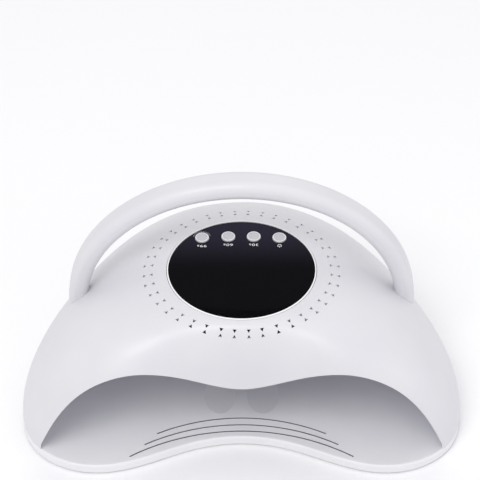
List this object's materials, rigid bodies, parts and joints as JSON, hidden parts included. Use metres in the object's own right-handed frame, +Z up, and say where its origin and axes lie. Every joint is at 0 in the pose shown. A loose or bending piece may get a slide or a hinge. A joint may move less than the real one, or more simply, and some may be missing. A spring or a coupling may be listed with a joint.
{
  "type": "uv curing lamp",
  "caption": "Two-hand UV curing lamp: white domed hood with carry arch, dark oval display and round keys, standing on a lift-off kidney-shaped base plate with steel pins.",
  "frame": {"origin": "middle of the floor area under the whole lamp, on the surface it stands on", "axes": "+Z up, +X to the right of the person who faces the two hand openings, hand openings face -Y"},
  "size_m": [0.3092, 0.221, 0.1803],
  "materials": {
    "white_plastic": "satin moulded ABS",
    "liner_plastic": "satin pale grey reflector",
    "smoked_window": "high gloss smoked acrylic",
    "bright_ring": "polished white",
    "key_plastic": "satin light grey",
    "pin_steel": "turned steel",
    "screw_steel": "zinc plated",
    "magnet_nickel": "nickel plated",
    "foot_rubber": "matt moulded rubber",
    "board_laminate": "green solder mask",
    "board_aluminium": "white-coated aluminium core board",
    "switch_plastic": "moulded black",
    "bead_lens": "clear silicone lens",
    "lead_sheath": "smooth PVC"
  },
  "bodies": {
    "base": {"base_plate": "white_plastic", "base_cover": "white_plastic", "base_feet": "foot_rubber", "cover_screws": "screw_steel", "post_pins": "pin_steel", "post_screws": "screw_steel"},
    "housing": {"outer_shell": "white_plastic", "inner_liner": "liner_plastic", "bottom_ring": "white_plastic", "post_sleeves": "switch_plastic", "docking_magnets": "magnet_nickel", "ring_screws": "screw_steel", "liner_screws": "screw_steel", "carry_handle": "white_plastic", "handle_screws": "screw_steel", "display_bezel": "bright_ring", "display_window": "smoked_window", "tact_switches": "switch_plastic", "display_module": "switch_plastic", "control_board": "board_laminate", "board_spacers": "switch_plastic", "board_screws": "screw_steel", "led_board_top": "board_aluminium", "led_beads_top": "bead_lens", "led_beads_wall": "bead_lens", "led_star_boards": "board_aluminium", "hand_sensors": "switch_plastic", "dc_jack": "switch_plastic", "power_lead": "lead_sheath"},
    "button_high_key": {"button_high": "key_plastic"},
    "button_middle_key": {"button_middle": "key_plastic"},
    "button_low_key": {"button_low": "key_plastic"},
    "button_power_key": {"button_power": "key_plastic"}
  },
  "joints": [
    {"name": "housing_lift", "type": "slide", "parent": "base", "child": "housing", "axis": [0, 0, 1], "range_m": [0, 0.137]},
    {"name": "button_high_press", "type": "slide", "parent": "housing", "child": "button_high_key", "axis": [0, 0, -1], "range_m": [0, 0.0006], "stiffness_N_per_m": 1500},
    {"name": "button_middle_press", "type": "slide", "parent": "housing", "child": "button_middle_key", "axis": [0, 0, -1], "range_m": [0, 0.0006], "stiffness_N_per_m": 1500},
    {"name": "button_low_press", "type": "slide", "parent": "housing", "child": "button_low_key", "axis": [0, 0, -1], "range_m": [0, 0.0006], "stiffness_N_per_m": 1500},
    {"name": "button_power_press", "type": "slide", "parent": "housing", "child": "button_power_key", "axis": [0, 0, -1], "range_m": [0, 0.0006], "stiffness_N_per_m": 1500}
  ]
}
